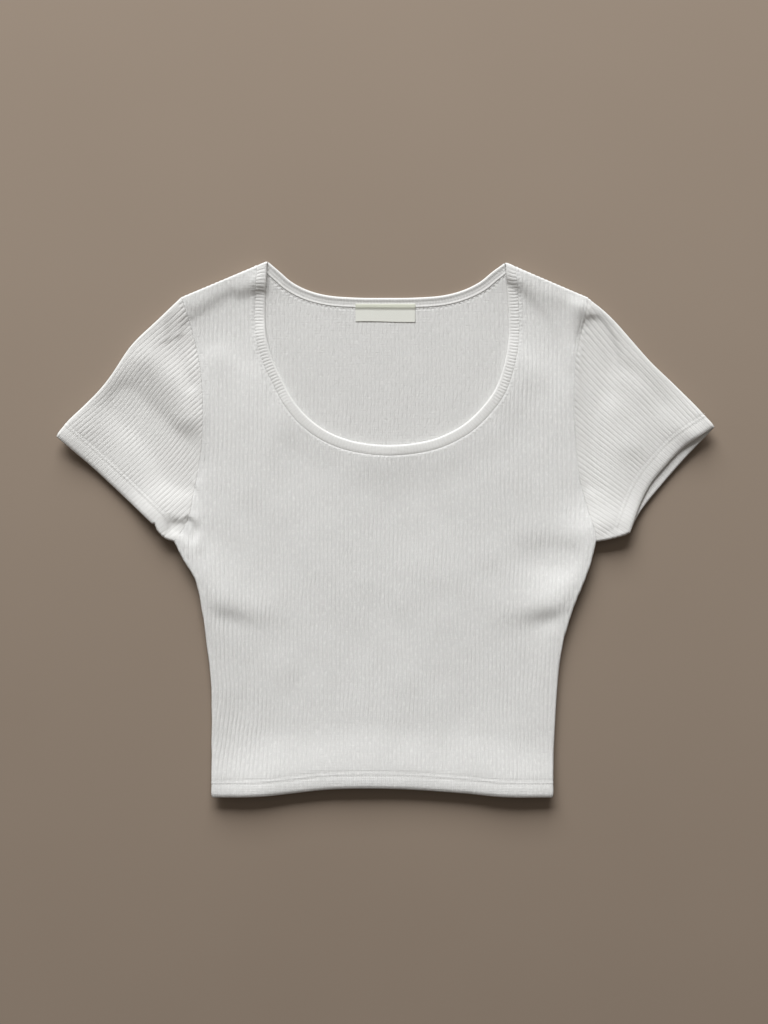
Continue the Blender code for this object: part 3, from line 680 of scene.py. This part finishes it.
def cloth_layer(shell, loop, upper, ribs, grid_points, relief_mm, open_edges, seams,
                fold_rim=None, ribbed_inside=False):
    """Add one layer to a shell: outer face, inner face and the rim between them.

    open_edges are turned-up edges (lines), and seams are sewn lines with their groove's depth, how
    far they flatten the ribs, and their puckers' height. fold_rim tells which rim edges are left
    open because the piece's other layer meets them.
    """
    meet = fold_rim is not None
    rows, rim = edge_rows(loop, RIM_ROWS)
    grid_points = grid_points[inside(grid_points, loop)]
    grid_points = grid_points[rim.gap(grid_points) > 3.3]
    beside_stitches = [row_at + d for row_at in STITCH_ROWS for d in (-ROW_NEAR, 0.0, ROW_NEAR)]
    stitched = []
    for line in open_edges:
        stitched += rows_beside(line, beside_stitches, loop, rim, 3.2)
    far_off = nearest_gap(open_edges, grid_points)
    apart = np.min([np.abs(far_off - row_at) for row_at in STITCH_ROWS], axis=0)
    plan, tris = fill(loop, np.vstack([rows, grid_points[apart > 1.1]] + stitched))
    base, normal = layer(plan, upper, meet)
    u, v = ribs(plan)
    gap_open = nearest_gap(open_edges, plan)
    band = 1.0 - smooth(gap_open, TURN_UP_DEPTH - 0.8, TURN_UP_DEPTH + 0.6)
    amount = relief_mm(plan) * (1.0 - 0.45 * band) * (1.0 + 0.45 * waves(plan, 24.0, 61))
    lift = amount * (rib_profile(u / RIB) - RIB_MEAN)
    for row_at in STITCH_ROWS:
        lift *= 1.0 - 0.5 * bell(gap_open - row_at, 0.9)
        lift -= 0.17 * bell(gap_open - row_at, 0.6)
    lift += 0.12 * bell(gap_open - np.mean(STITCH_ROWS), 0.9)
    lift += 0.20 * bell(gap_open - 4.2, 3.0)
    lift -= 0.45 * bell(gap_open, 0.8)
    for line, groove, fade, pucker in seams:
        gap, _, _, run = line.near(plan)
        lift *= 1.0 - fade * bell(gap, 1.1)
        lift -= groove * bell(gap, 0.9)
        lift += pucker * (0.5 + np.cos(TURN * run / PUCKER)) * bell(gap - 1.7, 1.0)
    if upper:
        tucked = smooth(plan[:, 1], 112.0, 150.0) * smooth(plan[:, 0], 120.0, 140.0)
        beside = ARM_LINES["right"].gap(plan)
        lift += 0.22 * tucked * np.cos(TURN * beside / 2.7) * bell(beside, 5.5)
    outer = base + normal * lift[:, None]
    outer[:, 2] = np.maximum(outer[:, 2], 0.0)
    uv = np.column_stack([u / RIB, v / RIB])
    first = shell.add(outer, uv)
    shell.faces.append((tris if upper else tris[:, ::-1]) + first)

    if ribbed_inside:
        inner_grid = np.vstack([grid_points, rows])
    else:
        inner_grid = lattice(loop, loop.mean(axis=0), X_AXIS, Y_AXIS, COARSE, COARSE)
        inner_grid = inner_grid[inside(inner_grid, loop)]
        inner_grid = inner_grid[rim.gap(inner_grid) > COARSE * 0.45]
        marks = [edge_rows(loop, (1.2, 3.4))[0]]
        for line in open_edges:
            marks += rows_beside(line, TURN_UP_STEP, loop, rim, 3.6, every=4)
        inner_grid = np.vstack([inner_grid] + marks)
    plan_in, tris_in = fill(loop, inner_grid)
    base_in, normal_in = layer(plan_in, upper, meet)
    doubled = 1.0 - smooth(nearest_gap(open_edges, plan_in), *TURN_UP_STEP)
    thick = CLOTH + (TURN_UP - CLOTH) * doubled
    u_in, v_in = ribs(plan_in)
    if ribbed_inside:
        crest = relief_mm(plan_in) * (RIB_MEAN - rib_profile(u_in / RIB + 0.5))
        for line, _, _, pucker in seams:
            gap, _, _, run = line.near(plan_in)
            crest = crest * (1.0 - 0.9 * bell(gap, 1.4)) - 0.15 * bell(gap, 2.2)
            holes = (0.5 + 0.5 * np.cos(TURN * run / PUCKER)) ** 2
            crest = crest + 3.0 * pucker * holes * bell(gap - 0.9, 0.7)
        thick = thick - crest
    inner = base_in - normal_in * thick[:, None]
    inner[:, 2] = np.maximum(inner[:, 2], ON_FLOOR)
    second = shell.add(inner, np.column_stack([u_in / RIB + 0.5, v_in / RIB]))
    shell.faces.append((tris_in[:, ::-1] if upper else tris_in) + second)

    count = len(loop)
    outward = np.column_stack([loop_outward(loop), np.zeros(count)])
    is_open = smooth(gap_open[:count], 1.2, 0.2)
    last = first
    top, bottom = outer[:count], inner[:count]
    starts = []
    for share in (0.16, 0.5, 0.84):
        bulge = math.sin(math.pi * share) * 0.5 * TURN_UP * is_open
        points = top + (bottom - top) * share + outward * bulge[:, None]
        starts.append(shell.add(points, uv[:count]))
    i = np.arange(count)[~fold_rim] if meet else np.arange(count)
    j = (i + 1) % count
    for low in starts + [second]:
        quad = np.column_stack([j + last, i + last, i + low, j + low])
        shell.faces.append(quad if upper else quad[:, ::-1])
        last = low


# ---- materials
def new_material(name):
    """A material with its node tree and its shader node."""
    material = bpy.data.materials.new(name)
    material.use_nodes = True
    tree = material.node_tree
    return material, tree, tree.nodes["Principled BSDF"]


def rib_coordinates(tree):
    """The rib UV map as a vector, and its two axes."""
    uv = tree.nodes.new("ShaderNodeUVMap")
    uv.uv_map = "ribs"
    split = tree.nodes.new("ShaderNodeSeparateXYZ")
    tree.links.new(uv.outputs[0], split.inputs[0])
    return uv.outputs[0], split.outputs[0], split.outputs[1]


def add_bump(tree, shader, height, strength, depth):
    """Bump the shader by a height, with the depth in millimetres."""
    bump = tree.nodes.new("ShaderNodeBump")
    bump.inputs["Strength"].default_value = strength
    bump.inputs["Distance"].default_value = depth * MM
    tree.links.new(height, bump.inputs["Height"])
    tree.links.new(bump.outputs[0], shader.inputs["Normal"])


def math_node(tree, operation, a, b=None, c=None, clamp=False):
    node = tree.nodes.new("ShaderNodeMath")
    node.operation = operation
    node.use_clamp = clamp
    for socket, value in zip(node.inputs, (a, b, c)):
        if value is None:
            continue
        if isinstance(value, (int, float)):
            socket.default_value = value
        else:
            tree.links.new(value, socket)
    return node.outputs[0]


def mix_colour(tree, factor, dark, light):
    node = tree.nodes.new("ShaderNodeMix")
    node.data_type = "RGBA"
    tree.links.new(factor, node.inputs["Factor"])
    for socket, value in ((node.inputs[6], dark), (node.inputs[7], light)):
        if isinstance(value, tuple):
            socket.default_value = (*value, 1.0)
        else:
            tree.links.new(value, socket)
    return node.outputs[2]


def noise_node(tree, vector, scale, detail, roughness=0.5):
    node = tree.nodes.new("ShaderNodeTexNoise")
    node.inputs["Scale"].default_value = scale
    node.inputs["Detail"].default_value = detail
    node.inputs["Roughness"].default_value = roughness
    tree.links.new(vector, node.inputs["Vector"])
    return node.outputs["Fac"]


def stretched(tree, vector, sizes):
    """The vector with each axis scaled, for a noise that is longer one way."""
    node = tree.nodes.new("ShaderNodeVectorMath")
    node.operation = "MULTIPLY"
    tree.links.new(vector, node.inputs[0])
    node.inputs[1].default_value = sizes
    return node.outputs[0]


def knit_material(name, crest, groove, grain=1.0, breaks=3.0):
    """Rib knit: paler crests, grooves darkened unevenly by painted shade, V-shaped stitches in each
    wale, and fuzz.
    """
    wales = 2.0              # columns of stitches in a rib
    stitch_rows = 2.6        # rows of stitches in a rib's width
    material, tree, shader = new_material(name)
    calc = partial(math_node, tree)
    times = partial(math_node, tree, "MULTIPLY")
    times_add = partial(math_node, tree, "MULTIPLY_ADD")
    noise = partial(noise_node, tree)
    mix = partial(mix_colour, tree)
    knit_at, u, v = rib_coordinates(tree)
    # groove is the grooves' colour: painted shade laid into each rib's groove by its phase, broken
    # up along the rib
    wave = calc("COSINE", times(u, TURN))
    groove_shade_mask = calc("POWER", times_add(wave, 0.5, 0.5), 1.5)
    streak = noise(stretched(tree, knit_at, (1.1, 0.16, 1.0)), 1.0, 3.0)
    uneven = times_add(streak, breaks, 0.8 - breaks / 2, clamp=True)
    groove_shade_mask = times(groove_shade_mask, uneven)
    wale = calc("FRACT", times(u, wales))
    slant = calc("ABSOLUTE", calc("SUBTRACT", wale, 0.5))
    phase = times_add(v, stitch_rows, times(slant, 1.1))
    vee = calc("SINE", times(phase, TURN))
    wale_edge = calc("POWER", times(slant, 2.0), 4.0)
    stitch = times_add(vee, 0.5, times(wale_edge, -1.0))

    place = tree.nodes.new("ShaderNodeTexCoord").outputs["Object"]
    fuzz = noise(place, 800.0, 4.0, 0.7)
    columns = noise(stretched(tree, knit_at, (3.2, 0.7, 1.0)), 1.0, 2.0, 0.6)
    courses = noise(stretched(tree, knit_at, (0.7, 3.0, 1.0)), 1.0, 2.0, 0.6)
    slub = times_add(columns, 0.72, times(courses, 0.28))
    mottle = noise(place, 40.0, 2.0)

    knit = mix(times_add(vee, 0.035, 0.05), mix(groove_shade_mask, crest, groove),
               tuple(c * 0.86 for c in groove))
    specks = times_add(slub, 1.3 * grain, -0.36 * grain, clamp=True)
    grained = mix(specks, knit, tuple(c * 0.80 for c in crest))
    patches = times_add(mottle, 0.5, -0.16, clamp=True)
    colour = mix(patches, grained, tuple(c * 0.92 for c in crest))
    tree.links.new(colour, shader.inputs["Base Color"])

    rough = times_add(fuzz, 0.8, stitch)
    add_bump(tree, shader, times_add(slub, 2.2 * grain, rough), 0.6, 0.12)
    shader.inputs["Roughness"].default_value = 0.92
    shader.inputs["Specular IOR Level"].default_value = 0.12
    shader.inputs["Sheen Weight"].default_value = 0.06
    shader.inputs["Sheen Roughness"].default_value = 0.6
    return material


def tape_material():
    """Woven label tape: fine crossed threads in ivory with a slight lustre, and a darker, greener
    strip of painted shade along its top edge, where it climbs under the band's lip.
    """
    material, tree, shader = new_material("label_tape_look")
    calc = partial(math_node, tree)
    _, u, v = rib_coordinates(tree)
    warp = calc("SINE", calc("MULTIPLY", u, TURN))
    weft = calc("SINE", calc("MULTIPLY", v, TURN))
    weave = calc("MULTIPLY", warp, weft)
    tone = calc("MULTIPLY_ADD", weave, 0.25, 0.5)
    # A darker, greener strip along the top edge: painted shade where the tape climbs under the
    # band's lip
    top_strip_shade = calc("MULTIPLY_ADD", v, 0.5, 3.3, clamp=True)
    flat = mix_colour(tree, tone, (0.70, 0.705, 0.65), (0.77, 0.775, 0.72))
    colour = mix_colour(tree, top_strip_shade, flat, (0.66, 0.675, 0.575))
    tree.links.new(colour, shader.inputs["Base Color"])
    add_bump(tree, shader, weave, 0.4, 0.05)
    shader.inputs["Roughness"].default_value = 0.55
    shader.inputs["Sheen Weight"].default_value = 0.1
    return material


def thread_material():
    material, tree, shader = new_material("sewing_thread")
    place = tree.nodes.new("ShaderNodeTexCoord").outputs["Object"]
    colour = mix_colour(tree, noise_node(tree, place, 1500.0, 2.0),
                        (0.74, 0.74, 0.72), (0.83, 0.83, 0.81))
    tree.links.new(colour, shader.inputs["Base Color"])
    shader.inputs["Roughness"].default_value = 0.6
    return material


# Each knit's second colour, for its grooves, is darker than its crests: painted shade in the
# grooves, darkest on the back panel
BODY_KNIT = knit_material("knit_body_look", (0.885, 0.883, 0.868), (0.715, 0.709, 0.69),
                          grain=3.0, breaks=2.4)
BACK_KNIT = knit_material("knit_back_look", (0.855, 0.851, 0.835), (0.52, 0.514, 0.498),
                          grain=3.8, breaks=1.2)
# The sleeve knit is a darker copy of the body's cloth: painted shade over the whole of both sleeves
SLEEVE_KNIT = knit_material("knit_sleeve_shaded_look", (0.80, 0.795, 0.777), (0.715, 0.708, 0.69))
BAND_KNIT = knit_material("knit_band_look", (0.815, 0.812, 0.795), (0.765, 0.758, 0.74))
TAPE = tape_material()
THREAD = thread_material()


# ---- pieces
def offset_neck(seam_line):
    """A body panel's neck edge, a seam's gap outside the band."""
    return seam_line + side_normals(seam_line) * SEAM


def body_loop(neck_line, hem_line):
    return loop_from(hem_line, SIDE["right"][1:], ARMHOLE["right"][1:], SHOULDER["right"][1:-1],
                     neck_line[::-1], SHOULDER["left"][::-1][1:-1], ARMHOLE["left"][::-1],
                     SIDE["left"][::-1][1:])


def onto_ribs(points, ribs, target, direction, share, rounds):
    """Slide points along a direction, a share of the way each round, until each is on its rib."""
    for _ in range(rounds):
        u, _ = ribs(points)
        points = points + (share * (target - u))[:, None] * direction
    return points


def straight_lattice(loop, ribs, across, along):
    """Rows over the body with their columns on the ribs."""
    grid = lattice(loop, np.zeros(2), X_AXIS, Y_AXIS, across, along)
    points = onto_ribs(grid, ribs, grid[:, 0], X_AXIS, 0.8, 6)
    low, high = loop.min(axis=0), loop.max(axis=0)
    keep = (points > low - 1.0).all(axis=1) & (points < high + 1.0).all(axis=1)
    return points[keep]


def sleeve_lattice(loop, ribs_of, across, along):
    """The same over a sleeve, with rows square to the ribs."""
    ribs, tip, down, inward = ribs_of
    grid = lattice(loop, tip, down, inward, across, along)
    return onto_ribs(grid, ribs, (grid - tip) @ down, down, 0.6, 12)


def cut_area(loops, turned_edges=()):
    """Flat area of a piece's cut in square metres: its outlines and the cloth it turns up."""
    total = sum(arc_run(edge)[-1] * TURN_UP_DEPTH for edge in turned_edges)
    for loop in loops:
        x, y = loop[:, 0], loop[:, 1]
        total += abs((x * np.roll(y, -1) - np.roll(x, -1) * y).sum()) / 2
    return total * MM * MM


def body_relief(points):
    """Rib height on the body, in mm: the ribs open a little towards the sides."""
    return 0.17 + 0.10 * smooth(np.abs(points[:, 0]), 50.0, 130.0)


def sleeve_relief(points):
    """Rib height on a sleeve: the ribs stand up where they turn into the armhole seam."""
    beside = nearest_gap(ARM_LINES.values(), points)
    return 0.14 + 0.16 * bell(beside, 7.0) * smooth(points[:, 1], 40.0, 120.0)


def make_panel(name, material, upper, neck_line, hem_line, seams, across, along):
    """The front or the back: one layer with a turned-up hem."""
    loop = body_loop(offset_neck(neck_line), hem_line)
    shell = Shell()
    grid = straight_lattice(loop, body_ribs, across, along)
    cloth_layer(shell, loop, upper, body_ribs, grid, body_relief, [Line(hem_line)], seams,
                ribbed_inside=not upper)
    return shell.to_object(name, material), cut_area([loop], [hem_line])


def make_front():
    seams = [(SCOOP_LINE, 0.14, 0.8, 0.12), (ARM_LINES["left"], 0.03, 0.3, 0.0),
             (ARM_LINES["right"], 0.10, 0.3, 0.0)]
    return make_panel("front_cloth", BODY_KNIT, True, SCOOP, HEM, seams, ACROSS, 3.2)


def make_back():
    seams = [(Line(BACK_SEAM), 0.2, 0.8, 0.24), (ARM_LINES["left"], 0.10, 0.4, 0.0),
             (ARM_LINES["right"], 0.10, 0.4, 0.0)]
    return make_panel("back_cloth", BACK_KNIT, False, BACK_SEAM, BACK_HEM, seams, ACROSS * 1.25, 5.0)


def make_sleeve(hand):
    """A tube of two layers that share the folded top edge and the underarm edge."""
    out = side_normals(ARMHOLE[hand]) * (-1.0 if hand == "left" else 1.0)
    seam_line = ARMHOLE[hand] + out * SEAM
    edges = SLEEVE[hand]
    top = np.vstack([seam_line[-1:], edges["top"][1:]])
    under = np.vstack([edges["underarm"][:-1], seam_line[:1]])
    ribs_of = sleeve_ribs(hand)
    shell = Shell()
    folds = (Line(top), Line(under))
    loops = []
    for upper in (True, False):
        cuff = edges["cuff_upper" if upper else "cuff_lower"]
        loop = loop_from(top, cuff[1:], under[1:], seam_line[1:])
        loops.append(loop)
        middle = (loop + np.roll(loop, -1, axis=0)) / 2
        fold_rim = nearest_gap(folds, middle) < 0.01
        fine = 1.0 if upper else 1.5
        grid = sleeve_lattice(loop, ribs_of, ACROSS * fine, 3.0 * fine)
        cuff_line = CUFF_LINES[hand]["upper" if upper else "lower"]
        cloth_layer(shell, loop, upper, ribs_of[0], grid, sleeve_relief, [cuff_line],
                    [(Line(seam_line), 0.04, 0.2, 0.0)], fold_rim)
    obj = shell.to_object("sleeve_cloth_" + hand, SLEEVE_KNIT, weld=0.002)
    return obj, cut_area(loops, [edges["cuff_upper"], edges["cuff_lower"]])


def make_band():
    """The neck band: a folded strip with ribs across it, rolled over at its free edge."""
    section = []
    round_off = TURN_UP / 2
    for a in np.concatenate([np.linspace(0.0, 1.0, 4), np.linspace(1.9, BAND_WIDTH - 2.4, 7)]):
        section.append((a, TURN_UP))
    for angle in np.linspace(90.0, -90.0, 11):
        rad = math.radians(angle)
        reach = 1.7 if angle > 0 else round_off
        section.append((BAND_WIDTH - reach + reach * math.cos(rad),
                        round_off + round_off * math.sin(rad)))
    for a in np.linspace(BAND_WIDTH - 2.4, 0.0, 4):
        section.append((a, 0.0))
    section = np.array(section)
    size = len(section)
    arcs = []
    ends = np.array((0.25, 0.6, 1.1, 1.8, 2.7, 3.6))
    for seam_line, free, upper in ((SCOOP, FRONT_FREE, True),
                                   (BACK_SEAM[::-1], BACK_FREE[::-1], False)):
        run = arc_run(seam_line)
        stations = np.arange(4.2, run[-1] - 4.2, 0.45)
        stations = np.concatenate([[0.0], ends, stations, (run[-1] - ends)[::-1], [run[-1]]])
        arcs.append((places_at(stations, run, seam_line), places_at(stations, run, free),
                     stations, upper))
    total = sum(arc[2][-1] for arc in arcs)
    ribs = round(total / BAND_RIB)
    shell = Shell()
    done = 0.0
    rings = 0
    for which, (seam_at, free_at, stations, upper) in enumerate(arcs):
        if which:
            seam_at, free_at, stations = seam_at[1:-1], free_at[1:-1], stations[1:-1]
        share = section[:, 0] / BAND_WIDTH
        plan = seam_at[:, None] + (free_at - seam_at)[:, None] * share[None, :, None]
        plan = plan.reshape(-1, 2)
        base, normal = layer(plan, upper, True)
        height = np.tile(section[:, 1], len(stations))
        a = np.tile(section[:, 0], len(stations))
        u = np.repeat((done + stations) / total * ribs, size)
        u = u + 0.10 * np.sin(a * 0.5) + 0.12 * waves(plan, 40.0, 51)
        face = 1.0 if upper else -1.0
        top = (height > round_off) if upper else (height < round_off)
        rib = rib_profile(u) - RIB_MEAN
        flat_part = smooth(a, BAND_WIDTH - 0.9, BAND_WIDTH - 2.6)
        crest = (0.06 + 0.14 * smooth(plan[:, 1], 88.0, 125.0)) * rib * flat_part
        crest = crest - 0.16 * bell(a, 0.9) + 0.14 * np.sin(math.pi * a / BAND_WIDTH)
        depth = height - TURN_UP if upper else -height
        lift = depth + np.where(top, crest, 0.0) * face
        if not upper:
            inside_face = 0.07 * rib * flat_part
            inside_face += 0.16 * bell(a - 1.0, 0.6) - 0.22 * bell(a - 2.3, 0.8)
            inside_face -= 0.45 * bell(a, 0.5) + 0.55 * smooth(BAND_WIDTH - a, 1.5, 4.0)
            lift = -height - np.where(height > round_off, inside_face, 0.0)
        points = base + normal * lift[:, None]
        points[:, 2] = np.maximum(points[:, 2], ON_FLOOR)
        shell.add(points, np.column_stack([u, a / BAND_RIB]))
        rings += len(stations)
        done += stations[-1]
    faces = []
    for k in range(rings):
        for c in range(size):
            d = (c + 1) % size
            nxt = (k + 1) % rings
            faces.append((nxt * size + c, nxt * size + d, k * size + d, k * size + c))
    shell.faces.append(faces)
    return face_outward(shell.to_object("neck_band_cloth", BAND_KNIT))


LABEL_REST = 1.08        # the label's underside over the floor: it lies on the back panel
LABEL_THICK = 0.20
THREAD_PITCH = 0.7       # of the label's weave
LABEL_TUCK = 4.0         # how far the label climbs over the band's lower lip
LABEL_SHORT = 1.2        # how much higher its lower edge lies than the solid's


def make_label():
    """A blank woven tape that lies on the back panel, its top edge caught under the band."""
    low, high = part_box("label")
    x = np.linspace(low[0], high[0], 61) / MM
    y = np.linspace(low[1] + LABEL_SHORT * MM, high[1] + LABEL_TUCK * MM, 31) / MM
    gx, gy = np.meshgrid(x, y)
    across = (gx - x[0]) / (x[-1] - x[0])
    down = (y[-1] - gy) / (y[-1] - y[0])
    climb = 1.0 - smooth(y[-1] - gy, 2.4, 5.2)
    z = LABEL_REST + 0.62 * climb + 0.04 * np.sin(across * 7.0 + 0.6) * down
    skew = 0.35 * np.sin(across * 5.0 + 0.5) * down
    uv = np.column_stack([gx.ravel(), gy.ravel() - y[-1]]) / THREAD_PITCH
    shell = Shell()
    for height in (z + LABEL_THICK, z):
        face = np.column_stack([gx.ravel(), (gy + skew).ravel(), height.ravel()])
        shell.add(face - (0.0, PLAN_SHIFT / MM, 0.0), uv)
    n, w, h = gx.size, len(x), len(y)
    faces = []
    for j in range(h - 1):
        for i in range(w - 1):
            a = j * w + i
            faces.append((a, a + 1, a + w + 1, a + w))
            faces.append((a + n, a + w + n, a + w + 1 + n, a + 1 + n))
    rim = list(range(w)) + [j * w + w - 1 for j in range(1, h)]
    rim += [(h - 1) * w + i for i in range(w - 2, -1, -1)] + [j * w for j in range(h - 2, 0, -1)]
    for i, j in zip(rim, rim[1:] + rim[:1]):
        faces.append((j, i, i + n, j + n))
    shell.faces.append(faces)
    return shell.to_object("label_cloth", TAPE)


STITCH_LENGTH = 2.3
STITCH_GAP = 0.6         # between two stitches of a row
STITCH_THREAD = 0.26
STITCH_SUNK = 0.16       # how deep the thread lies in the knit


def stitch_run(line, inset, toward):
    """Stitches along a row beside an edge line, each a short rounded thread with sunk ends."""
    row = line + side_normals(line) * inset * toward
    run = arc_run(row)
    starts = np.arange(1.5, run[-1] - STITCH_LENGTH - 1.0, STITCH_LENGTH + STITCH_GAP)
    along = starts[:, None] + np.linspace(0.0, STITCH_LENGTH, 5)[None, :]
    base, normal = layer(places_at(along.ravel(), run, row), True)
    arch = np.array((-0.30, 0.02, 0.10, 0.02, -0.30)) - STITCH_SUNK
    rise = np.tile(arch, len(starts))
    centre = (base + normal * rise[:, None]).reshape(len(starts), 5, 3)
    return centre, normal.reshape(len(starts), 5, 3)


def make_stitches(name, edges):
    """One mesh of the stitch rows along some edges, each edge with the side that they are on."""
    rows = [stitch_run(edge, inset, toward) for edge, toward in edges for inset in STITCH_ROWS]
    points = []
    faces = []
    sides = 6                # of a thread's section
    for centre, normal in rows:
        side = unit(np.cross(unit(np.gradient(centre, axis=1)), normal))
        radius = STITCH_THREAD / 2 * np.array((0.7, 1.0, 1.05, 1.0, 0.7))
        ring = []
        for k in range(sides):
            angle = TURN * k / sides
            spoke = side * math.cos(angle) + normal * math.sin(angle)
            ring.append(centre + spoke * radius[None, :, None])
        block = np.stack(ring, axis=2).reshape(-1, 3)
        first = sum(len(p) for p in points)
        points.append(block)
        for s in range(len(centre)):
            at = first + s * 5 * sides
            for r in range(4):
                for k in range(sides):
                    a, b = at + r * sides + k, at + r * sides + (k + 1) % sides
                    faces.append((a, b, b + sides, a + sides))
            faces.append(tuple(at + k for k in range(sides))[::-1])
            faces.append(tuple(at + 4 * sides + k for k in range(sides)))
    shell = Shell()
    block = np.vstack(points)
    shell.add(block, block[:, :2])
    shell.faces.append(faces)
    return face_outward(shell.to_object(name, THREAD))


# ---- the garment
front, front_area = make_front()
back, back_area = make_back()
sleeves = {}
sleeve_areas = {}
for hand in ("left", "right"):
    sleeves[hand], sleeve_areas[hand] = make_sleeve(hand)
band = make_band()
label = make_label()
hem_thread = make_stitches("hem_stitches", [(HEM, -1.0)])
cuff_thread = make_stitches("cuff_stitches", [(SLEEVE["left"]["cuff_upper"], -1.0),
                                              (SLEEVE["right"]["cuff_upper"], 1.0)])

for piece, node in ((front, "front_panel"), (back, "back_panel"), (sleeves["left"], "sleeve_left"),
                    (sleeves["right"], "sleeve_right"), (band, "neck_binding"), (label, "label")):
    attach(piece, "root")
    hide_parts(node)
for piece in (hem_thread, cuff_thread):
    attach(piece, "root")


# ---- floor, light and camera
def make_floor():
    mesh = bpy.data.meshes.new("floor")
    half, height = 6.0, -0.0003
    mesh.from_pydata([(-half, -half, height), (half, -half, height), (half, half, height),
                      (-half, half, height)], [], [(0, 1, 2, 3)])
    material, tree, shader = new_material("backdrop")
    place = tree.nodes.new("ShaderNodeTexCoord").outputs["Object"]
    split = tree.nodes.new("ShaderNodeSeparateXYZ")
    tree.links.new(place, split.inputs[0])
    # The floor's colour grows lighter towards +y, the window's side: painted light falloff, with
    # random mottling on it
    far = math_node(tree, "MULTIPLY_ADD", split.outputs[1], 0.95, 0.5, clamp=True)
    mottle = math_node(tree, "MULTIPLY_ADD", noise_node(tree, place, 4.0, 3.0), 0.5, -0.25)
    tone = math_node(tree, "ADD", far, mottle, clamp=True)
    tree.links.new(mix_colour(tree, tone, (0.270, 0.214, 0.167), (0.322, 0.259, 0.205)),
                   shader.inputs["Base Color"])
    shader.inputs["Roughness"].default_value = 0.95
    shader.inputs["Specular IOR Level"].default_value = 0.1
    mesh.materials.append(material)
    new_object("floor", mesh)


def area_light(name, place, target, size, power, colour):
    data = bpy.data.lights.new(name, "AREA")
    data.shape = "RECTANGLE"
    data.size, data.size_y = size
    data.energy = power
    data.color = colour
    obj = new_object(name, data)
    obj.location = place
    obj.rotation_euler = (Vector(target) - Vector(place)).to_track_quat("-Z", "Y").to_euler()


make_floor()
area_light("window", (-0.75, 5.10, 2.60), (0.0, 0.05, 0.0), (4.4, 3.0), 600.0, (0.985, 0.995, 1.0))
area_light("ceiling_bounce", (0.0, 0.4, 2.6), (0.0, 0.0, 0.0), (2.4, 2.4), 5.0, (1.0, 0.97, 0.93))

world = bpy.data.worlds.new("room")
world.use_nodes = True
background = world.node_tree.nodes["Background"]
background.inputs["Color"].default_value = (1.0, 0.90, 0.80, 1.0)
background.inputs["Strength"].default_value = 0.11
bpy.context.scene.world = world

VIEW_WIDTH = 0.630
CAMERA_HEIGHT = 1.25
camera = new_object("camera", bpy.data.cameras.new("camera"))
camera.data.sensor_fit = "HORIZONTAL"
camera.data.sensor_width = 36.0
camera.data.lens = 36.0 * CAMERA_HEIGHT / VIEW_WIDTH
camera.location = (-0.0012, 0.0134, CAMERA_HEIGHT)
camera.rotation_euler = (0.0, 0.0, 0.0)
bpy.context.scene.camera = camera

bpy.context.scene.view_settings.view_transform = "Standard"
bpy.context.scene.view_settings.look = "None"
bpy.context.scene.view_settings.exposure = 0.0
